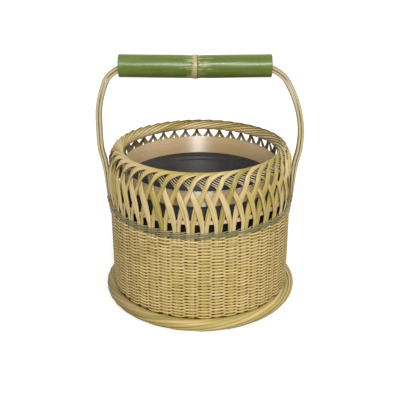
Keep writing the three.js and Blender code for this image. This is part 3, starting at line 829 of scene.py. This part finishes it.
def weft(which):
    """One of the two weavers: a helix over every other pair, with painted shade at the basket's two sides.
    """
    rounds = WEAVE_ROWS / 2 + 1
    low = WEFT_LOW + WEFT_HEIGHT / 2
    high = TWINING_LOW + WEFT_HEIGHT / 2
    turn = np.arange(0, rounds * PAIRS, 1 / WEFT_STEPS)
    azimuth = math.pi + (FIRST_PAIR - turn) * TURN_ANGLE
    share = (turn / PAIRS + which / 2) / (rounds + 0.5)
    phases = rng.uniform(0, WEFT_PHASES, len(WEFT_WOBBLE_RATES))
    wobble = sum(np.sin(rate * turn + phase) for rate, phase in zip(WEFT_WOBBLE_RATES, phases))
    height = low + (high - low) * share + WEFT_WOBBLE * wobble
    lift = in_front(turn + which)
    radius = WARP_RADIUS + WEAVE_DEPTH * lift
    radius = over_splints(azimuth, radius, height, WEFT_THICKNESS, (lift + 1) / 2)
    centre = radial(azimuth, radius, height)
    across, face = square_frame(-slope_of(centre), outward(centre))
    width = WEFT_HEIGHT * (1 + WEFT_UNEVEN * np.sin(WEFT_UNEVEN_RATE * turn + 2 * which))
    seed = WEFT_SEEDS[which]
    points, quads, data = strand(centre, across, face, width, WEFT_THICKNESS, ROUND_SECTION, seed)
    # Painted shade, growing towards the basket's two sides
    shade = WEFT_SIDE_SHADE * np.sin(azimuth) ** WEFT_SHADE_POWER
    data[:, INNER] = np.maximum(data[:, INNER], np.repeat(shade, len(ROUND_SECTION)))
    return points, quads, data


def upright(azimuth, radius, low, high, width):
    """A flat strip that stands upright in the wall."""
    height = np.linspace(low, high, UPRIGHT_STEPS)
    centre = radial(azimuth + 0 * height, radius, height)
    face = outward(centre)
    return strand(centre, np.cross(UP, face), face, width, WARP_THICKNESS, FLAT_SECTION, new_seed())


def warps():
    """Two warps side by side at each pair."""
    made = []
    for k in range(PAIRS):
        for side in (-1, 1):
            azimuth = (k + FIRST_PAIR + side * PAIR_SHARE) * TURN_ANGLE
            azimuth += rng.uniform(-WARP_JITTER, WARP_JITTER)
            made.append(upright(azimuth, WARP_RADIUS, WARP_LOW, STRIP_FOOT_HEIGHT, WARP_WIDTH))
    return made


def shade_backing():
    """Plain dark strips inside the wall, behind the wefts, at each pair and between the pairs, that put
    painted shade in the holes of the weave.
    """
    made = []
    for k in range(2 * PAIRS):
        azimuth = (k / 2 + FIRST_PAIR) * TURN_ANGLE
        made.append(upright(azimuth, WARP_RADIUS - BACKING_DEPTH, WEAVE_LOW, BODY_TOP, BACKING_WIDTH))
    return made


# Twining

def twining_row(row):
    """Two strands that twist round each other between the pairs."""
    made = []
    middle = TWINING_LOW + (row + 0.5) * TWINING_PITCH
    turn = np.arange(0, PAIRS, 1 / TWINING_STEPS)
    azimuth = (turn + FIRST_PAIR) * TURN_ANGLE
    wobble = TWINING_WOBBLE * np.sin(TWINING_WOBBLE_RATE * turn + row)
    for which in (0, 1):
        lift = in_front(turn + which + row)
        height = middle + TWINING_TWIST_HEIGHT * np.sin(math.pi * (turn + which + row)) + wobble
        radius = WARP_RADIUS + TWINING_DEPTH * lift
        radius = over_splints(azimuth, radius, height, TWINING_STRAND_THICKNESS, (lift + 1) / 2)
        centre = radial(azimuth, radius, height)
        ahead = unit(np.roll(centre, -1, axis=0) - np.roll(centre, 1, axis=0))
        across, face = square_frame(-ahead, outward(centre))
        made.append(strand(centre, across, face, TWINING_STRAND_HEIGHT, TWINING_STRAND_THICKNESS,
                           ROUND_SECTION, new_seed(), closed=True))
    return made


# Collar

def roll_row(turn, degrees, width, side):
    """A row of the route on the roll, which each strip winds a little tighter as it goes."""
    angle = math.radians(degrees)
    scale = 1 - ROLL_SHRINK * (turn - ARCH_START)
    radius = ROLL_RADIUS + scale * ROLL_HALF_WIDTH * math.cos(angle)
    height = ROLL_HEIGHT + scale * ROLL_HALF_HEIGHT * math.sin(angle)
    return (turn, radius, height, width, degrees - SHINGLE_TILT, side)


def strip_route():
    """Rows of turn, radius, height, width, upward angle of the face and its turn to the side."""
    rise = [(turn, rising, *rest) for turn, rising, _, *rest in LEG] + [CURL]
    arch = [roll_row(*row) for row in ARCH]
    turns = np.linspace(*ROLL_TURNS, ROLL_KEYS)
    angles = np.linspace(*ROLL_ANGLES, ROLL_KEYS)
    roll = [roll_row(turn, angle, ROLL_WIDTH, 0) for turn, angle in zip(turns, angles)]
    fall = [(turn, falling, *rest) for turn, _, falling, *rest in LEG] + [SURFACE, DIVE]
    back = [(STRIP_TRAVEL - turn, *rest, -side) for turn, *rest, side in reversed(fall)]
    return np.array(rise + arch + roll + back)


def in_space(rows):
    """Rows that start with turn, radius and height, as distances in space."""
    return rows[:, :3] * np.array([TURN_ANGLE * ROLL_RADIUS, 1, 1])


def back_share(azimuth):
    """0 at the front and sides, 1 at the back."""
    return smooth_step(-np.cos(azimuth))


def side_share(azimuth):
    """1 at the two sides, under the handle, and 0 at the front and back."""
    return smooth_step((np.abs(np.sin(azimuth)) - SIDE_FROM) / (1 - SIDE_FROM))


def left_share(azimuth):
    """1 at the left and a little behind, where the strips stand close together."""
    return smooth_step((np.cos(azimuth - LEFT_DENSE) - LEFT_FROM) / (1 - LEFT_FROM))


def leg_share(height):
    """1 in the open part of the collar, between the twining and the roll."""
    above = smooth_step((height - TWINING_TOP) / LEG_FADE_LOW)
    below = smooth_step((ROLL_HEIGHT - height) / LEG_FADE_HIGH)
    return above * below


def roll_share(turn):
    """1 where a strip lies on the roll, and 0 at the ends of its legs."""
    start = smooth_step((turn - ROLL_FADE_FROM) / ROLL_FADE_TURNS)
    end = smooth_step((STRIP_TRAVEL - ROLL_FADE_FROM - turn) / ROLL_FADE_TURNS)
    return start * end


def sagged(azimuth, height):
    """Height of the collar, which sits a little lower at the back."""
    rise = np.clip((height - TWINING_TOP) / (ROLL_HEIGHT - TWINING_TOP), 0, 1)
    return height - BACK_SAG * rise * back_share(azimuth)


def strip_face(azimuth, facing, side):
    """Rough direction of a strip's face, which looks outward, turned up and to the side in degrees."""
    tilt = np.radians(facing)
    sideways = np.stack([np.cos(azimuth), np.sin(azimuth), 0 * azimuth], -1)
    return radial(azimuth, np.cos(tilt), np.sin(tilt)) - sideways * np.tan(np.radians(side))[:, None]


def strip_width(turn, azimuth, height, width):
    """Width of a strip, narrower at the back crossings and wider at the sides and the left."""
    crossing = np.clip(1 - np.abs(height - CROSSING_HEIGHT) / CROSSING_REACH, 0, 1)
    narrowing = BACK_NARROWING * crossing * back_share(azimuth)
    rising = np.where(turn < STRIP_TRAVEL / 2, 1, -1)
    widening = np.maximum(SIDE_WIDENING * side_share(azimuth), LEFT_WIDENING * left_share(azimuth))
    widening = widening + LEAN_WIDENING * rising * np.sin(azimuth)
    return width * rng.uniform(*STRIP_WIDTH_SPREAD) * (1 - narrowing) * (1 + widening * leg_share(height))


def rim_strip(number):
    """Strip from pair number to pair number + STRIP_TRAVEL."""
    route = strip_route()
    turn, radius, height, width, facing, side = smooth_path(route, in_space(route), STRIP_STEPS).T
    azimuth = (turn + number + FIRST_PAIR) * TURN_ANGLE
    height = sagged(azimuth, height)
    centre = radial(azimuth, radius, height)
    across, face = square_frame(slope_of(centre), strip_face(azimuth, facing, side))
    own_width = strip_width(turn, azimuth, height, width)
    points, quads, data = strand(centre, across, face, own_width, STRIP_THICKNESS, FLAT_SECTION, new_seed())
    # Painted shade on the inner face, weaker on the legs than on the roll
    shade = LEG_INNER_SHARE + (1 - LEG_INNER_SHARE) * roll_share(turn)
    data[:, INNER] *= np.repeat(shade, len(FLAT_SECTION))
    return points, quads, data


def tails(number):
    """The fine splints that a strip is split into, side by side, where it dives under the roll."""
    made = []
    for tail in range(TAILS):
        rows = np.array(TAIL_ROWS) + tail * np.array(TAIL_STEP)
        rows[:, 0] += STRIP_TRAVEL + number + FIRST_PAIR
        turn, radius, height = smooth_path(rows, in_space(rows), STRIP_STEPS).T
        azimuth = turn * TURN_ANGLE
        centre = radial(azimuth, radius, sagged(azimuth, height))
        across, face = square_frame(slope_of(centre), outward(centre))
        points, quads, data = strand(centre, across, face, TAIL_WIDTH, TAIL_THICKNESS, FLAT_SECTION, tail)
        data[:, EDGE] = TAIL_EDGE
        data[:, INNER] = 0
        made.append((points, quads, data))
    return made


# Turned pieces

def ring_sweep(outline, seed, edge_from=math.inf):
    """A closed outline of radius and height turned round the axis, with a cut edge above a height."""
    radius, height = np.asarray(outline, float).T
    azimuth = np.arange(RING_SIDES) * 2 * math.pi / RING_SIDES
    angle, radius = np.meshgrid(azimuth, radius, indexing="ij")
    edge = np.where(height > edge_from, CUT_SHARE, 0.0)
    return grid_mesh(radial(angle, radius, height), [angle * BODY_RADIUS, height, seed, edge, 0.0], True)


def eased_ring(inner, outer, low, high, ease, marks=()):
    """Outline of a hoop with its four corners eased, and points at marked heights on its outer face."""
    corner = ease * EASE_CORNER
    middle = (low + high) / 2
    return [
        (inner + ease, low), (outer - ease, low), (outer - corner, low + corner), (outer, low + ease),
        (outer, middle), *[(outer, mark) for mark in marks],
        (outer, high - ease), (outer - corner, high - corner), (outer - ease, high),
        (inner + ease, high), (inner + corner, high - corner), (inner, high - ease),
        (inner, middle), (inner, low + ease), (inner + corner, low + corner),
    ]


def hoop():
    """The thin hoop behind the collar strips."""
    outline = eased_ring(HOOP_HIGH.y - HOOP_THICKNESS, HOOP_HIGH.y, HOOP_LOW.z, HOOP_HIGH.z, HOOP_EASE)
    return ring_sweep(outline, HOOP_SEED)


def band():
    """The wide hoop on the pot's flange, with the skin cut off at its upper edge."""
    skin_end = BAND_HIGH.z - BAND_SKIN_END
    cut_start = BAND_HIGH.z - BAND_CUT_START
    outline = eased_ring(BAND_HIGH.y - BAND_THICKNESS, BAND_HIGH.y, BAND_LOW.z - BAND_SEAT, BAND_HIGH.z,
                         BAND_EASE, (skin_end, cut_start))
    return ring_sweep(outline, BAND_SEED, (skin_end + cut_start) / 2)


def pot():
    """The pot, from its foot's middle over the ribbed rim and back inside."""
    rim, top, foot = POT_HIGH.y, POT_HIGH.z, POT_LOW.z
    neck = top - RIB_PITCH * RIBS
    lip = BAND_HIGH.y + POT_BAND_GAP
    seat = BAND_LOW.z - POT_SEAT_DROP
    outside = [(radius, foot + rise) for radius, rise in POT_OUTSIDE]
    shoulder = [(rim - POT_SHOULDER_DEPTH, neck - POT_SHOULDER_DROP)]
    rib_rows = [(rib + share, depth) for rib in range(RIBS) for share, depth in RIB_ROWS]
    ribs = [(rim - depth, neck + place * RIB_PITCH) for place, depth in rib_rows]
    edge = [(rim - inset, top - drop) for inset, drop in POT_EDGE]
    flange = [(lip, top - POT_LIP_DROP), (lip, seat + POT_SEAT_CORNER), (lip - POT_SEAT_CORNER, seat)]
    flange.append((lip - POT_SEAT_WIDTH, seat))
    step = [(rim - inset, seat - drop) for inset, drop in POT_STEP]
    inside = [(radius, foot + rise) for radius, rise in POT_INSIDE]
    return ring_sweep(outside + shoulder + ribs + edge + flange + step + inside, POT_SEED)


# Foot ring and base

def foot_wrap(which):
    """One strip wound round the foot ring, flattened underneath, with painted shade at the left."""
    span = 2 * math.pi / FOOT_WRAPS
    side, lift = np.array(FOOT_STRIP_OUTLINE).T
    azimuth = np.linspace(math.pi, 3 * math.pi, FOOT_STEPS)[:, None] + 0 * side
    wind = which * span + FOOT_TWISTS * azimuth + FOOT_SWAY * np.sin(azimuth + FOOT_SWAY_START)
    angle = wind + side * span * FOOT_STRIP_OVERLAP
    tube = FOOT_TUBE + (lift * FOOT_STRIP_LIFT - 1) * FOOT_STRIP_THICKNESS
    height = np.maximum(FOOT_HEIGHT + tube * np.sin(angle), 0.0)
    points = radial(azimuth, FOOT_LINE + tube * np.cos(angle), height)
    seed = (FOOT_SHADES[which] + which) / SEED_STEP
    # Painted shade, darkest at the left side
    shade = FOOT_LEFT_SHADE * smooth_step(-np.sin(azimuth))
    return grid_mesh(points, [azimuth * FOOT_LINE, side * span * FOOT_TUBE, seed, side, shade], False)


def base_strips():
    """Flat strips in plain weave, cut to a round."""
    made = []
    radius = BASE_HIGH.y
    pitch = 2 * radius / BASE_STRIPS
    middle = (BASE_LOW.z + BASE_HIGH.z) / 2
    for way in (0, 1):
        for i in range(BASE_STRIPS):
            offset = (i + 0.5) * pitch - radius
            reach = math.sqrt(max(radius**2 - (abs(offset) + pitch / 2) ** 2, 0))
            if reach < pitch:
                continue
            run = np.linspace(-reach, reach, max(int(reach / pitch * BASE_STEPS), BASE_STEPS))
            wave = BASE_WAVE * np.sin(math.pi * (run / pitch + i + way + 0.5))
            flat = np.full_like(run, offset)
            x, y = (run, flat) if way == 0 else (flat, run)
            centre = np.stack([x, y, middle + wave], -1)
            across = np.broadcast_to(np.eye(3)[1 - way], centre.shape)
            face = unit(np.cross(slope_of(centre), across))
            made.append(strand(centre, across, face, pitch * BASE_STRIP_SHARE, BASE_STRIP_THICKNESS,
                               FLAT_SECTION, new_seed()))
    return made


# Handle

def parting_keys():
    """The line where the two splints meet, from the right tip to the top: x, height, thickness."""
    thick = SPLINT_THICKNESS
    seat = GRIP_HEIGHT + math.sqrt(GRIP_BORE**2 - (SPLINT_WIDTH / 2) ** 2) - thick - BORE_GAP
    rise = GRIP_HEIGHT - BOW_HEIGHT
    reach = BOW_LINE - GRIP_HALF
    tip = (BODY_RADIUS - SPLINT_TIP_THICKNESS / 2, SPLINT_TIP_HEIGHT, SPLINT_TIP_THICKNESS)
    wall = [(SPLINT_SEAT + thick * out, height, thick * share) for out, height, share in WALL_KEYS]
    bow = [
        (BOW_LINE - reach * BOW_SHOULDER_SHARE, ROLL_HEIGHT),
        *[(BOW_LINE - reach * inward, BOW_HEIGHT + rise * share) for inward, share in BOW_KEYS],
        (BOW_LINE - reach * BOW_ENTRY_SHARE, GRIP_HEIGHT - GRIP_RADIUS),
        *[(GRIP_HALF * along, GRIP_HEIGHT + GRIP_BORE * share) for along, share in BORE_KEYS],
        (GRIP_HALF * BORE_HALFWAY, seat - BORE_SAG),
        (0, seat),
    ]
    return [tip, *wall, *[(x, height, thick) for x, height in bow]]


def lean_at(height):
    """How far the bow leans to the left at a height."""
    share = (height - BOW_HEIGHT) / (GRIP_HEIGHT - BOW_HEIGHT)
    return -HANDLE_LEAN * np.clip(share, 0, 1)


def splint(side, seed):
    """One splint from tip to tip, outside (1) or inside (-1) the line where the two meet."""
    right = parting_keys()
    left = [(-x, z, thickness) for x, z, thickness in right[:-1]]
    keys = np.array([(x + lean_at(z), z, thickness) for x, z, thickness in left + right[::-1]])
    x, z, thickness = smooth_path(keys, keys[:, :2], SPLINT_STEPS).T
    line = np.stack([x, 0 * x, z], -1)
    slope = slope_of(line)
    face = side * np.stack([-slope[:, 2], 0 * x, slope[:, 0]], -1)
    centre = line + face * (SPLINT_PARTING / 2 + thickness / 2)[:, None]
    across = np.broadcast_to(ALONG_Y, centre.shape)
    return strand(centre, across, face, SPLINT_WIDTH, thickness, FLAT_SECTION, seed)


def grip():
    """The culm, turned about X, with a low node in the middle, eased ends and a straight bore."""
    lengths = np.linspace(-GRIP_HALF, GRIP_HALF, GRIP_STEPS)
    around = np.arange(GRIP_SIDES) * 2 * math.pi / GRIP_SIDES
    x, angle = np.meshgrid(lengths, around, indexing="ij")
    swell = sum(height * np.exp(-(((x - place) / width) ** 2)) for height, place, width in GRIP_SWELLS)
    ripple = sum(height * np.sin(waves * angle + rate * x) for height, waves, rate in GRIP_RIPPLES)
    end = np.maximum(np.abs(x) - (GRIP_HALF - GRIP_END_ROUND), 0) / GRIP_END_ROUND
    outer = GRIP_RADIUS + swell - GRIP_END_ROUND * (1 - np.sqrt(np.clip(1 - end**2, 0, 1))) + ripple
    bend = -GRIP_BEND * (1 - np.abs(x) / GRIP_HALF)
    radius = np.concatenate([outer, np.full_like(outer, GRIP_BORE)])
    bend = np.concatenate([bend, 0 * bend])
    along = np.concatenate([x, x[::-1]])
    turned = np.concatenate([angle, angle])
    height = GRIP_HEIGHT + bend + radius * np.sin(turned)
    points = np.stack([along + GRIP_MIDDLE, radius * np.cos(turned), height], -1)
    return grid_mesh(points, [along, turned * GRIP_RADIUS, 0.0, 0.0, 0.0], True)


# Pieces, each on its body and in place of its nodes

make_piece("weave_wefts", [weft(0), weft(1)], weft_bamboo(), ["woven_body"])
make_piece("weave_shade_backing", shade_backing(), backing_shade_bamboo(), [])
make_piece("weave_warps", warps(), warp_bamboo(), [])

twining_material = twining_bamboo()
for row in range(TWINING_ROWS):
    name = f"twining_row_{row + 1}"
    make_piece(f"{name}_strands", twining_row(row), twining_material, [name])

collar_material = collar_bamboo()
for number in range(PAIRS):
    label = f"{number + 1:02d}"
    strands = [rim_strip(number), *tails(number)]
    make_piece(f"collar_{label}", strands, collar_material, [f"rim_strip_{label}"])

make_piece("support_hoop_ring", [hoop()], hoop_bamboo(), ["support_hoop"])
make_piece("inner_band_ring", [band()], band_bamboo(), ["inner_band"])
make_piece("fire_pot_body", [pot()], pot_surface(), ["fire_pot"])

wraps = [foot_wrap(which) for which in range(FOOT_WRAPS)]
make_piece("foot_ring_wraps", wraps, foot_bamboo(), ["foot_ring"])
make_piece("base_mat_strips", base_strips(), base_bamboo(), ["base_mat"])

splint_material = splint_bamboo()
make_piece("handle_outer", [splint(1, OUTER_SEED)], splint_material, ["handle_splint_outer"])
make_piece("handle_inner", [splint(-1, INNER_SEED)], splint_material, ["handle_splint_inner"])
make_piece("green_grip", [grip()], green_culm_surface(), ["grip_culm"], body="grip")


# Studio

def floor():
    """A pale floor that the camera sees as white."""
    size = FLOOR_HALF
    mesh = bpy.data.meshes.new("floor")
    corners = [(-size, -size, 0), (size, -size, 0), (size, size, 0), (-size, size, 0)]
    mesh.from_pydata(corners, [], [(0, 1, 2, 3)])
    made = Shader("pale floor")
    is_camera = made.node("ShaderNodeLightPath").outputs["Is Camera Ray"]
    made.look({
        "Base Color": made.mix(is_camera, FLOOR_GREY, WHITE),
        "Roughness": 1,
        "Specular IOR Level": 0,
        "Emission Color": WHITE,
        "Emission Strength": made.maths("MULTIPLY", is_camera, FLOOR_GLOW),
    })
    mesh.materials.append(made.material)
    plane = bpy.data.objects.new("floor", mesh)
    bpy.context.scene.collection.objects.link(plane)


def white_world():
    """A world that lights the basket softly, and is white where it is seen, mirrored or looked through."""
    world = bpy.data.worlds.new("studio")
    world.use_nodes = True
    tree = world.node_tree
    background = tree.nodes["Background"]
    background.inputs["Color"].default_value = WHITE
    path = tree.nodes.new("ShaderNodeLightPath")
    seen = path.outputs["Is Camera Ray"]
    for ray in ("Is Transmission Ray", "Is Glossy Ray"):
        either = tree.nodes.new("ShaderNodeMath")
        either.operation = "MAXIMUM"
        tree.links.new(seen, either.inputs[0])
        tree.links.new(path.outputs[ray], either.inputs[1])
        seen = either.outputs[0]
    level = tree.nodes.new("ShaderNodeMapRange")
    level.inputs["To Min"].default_value = WORLD_LEVEL
    tree.links.new(seen, level.inputs["Value"])
    tree.links.new(level.outputs[0], background.inputs["Strength"])
    bpy.context.scene.world = world


def sun(name, strength, azimuth, elevation, spread):
    """A soft lamp far away, with its azimuth from the front, elevation and spread in degrees."""
    lamp = bpy.data.lights.new(name, "SUN")
    lamp.energy = strength
    lamp.angle = math.radians(spread)
    holder = bpy.data.objects.new(name, lamp)
    holder.rotation_euler = (math.radians(90 - elevation), 0, math.radians(azimuth))
    bpy.context.scene.collection.objects.link(holder)


def camera():
    """The camera of the photograph."""
    scene = bpy.context.scene
    data = bpy.data.cameras.new("camera")
    data.lens = CAMERA_LENS
    data.sensor_width = CAMERA_SENSOR
    data.shift_x, data.shift_y = CAMERA_SHIFT
    holder = bpy.data.objects.new("camera", data)
    holder.location = (0, -CAMERA_DISTANCE, CAMERA_HEIGHT)
    holder.rotation_euler = (math.pi / 2 - CAMERA_PITCH, 0, 0)
    scene.collection.objects.link(holder)
    scene.camera = holder


floor()
white_world()
sun("key", strength=1.72, azimuth=4, elevation=34, spread=16)
sun("side", strength=0.55, azimuth=66, elevation=36, spread=60)
camera()
bpy.context.scene.view_settings.view_transform = "Standard"
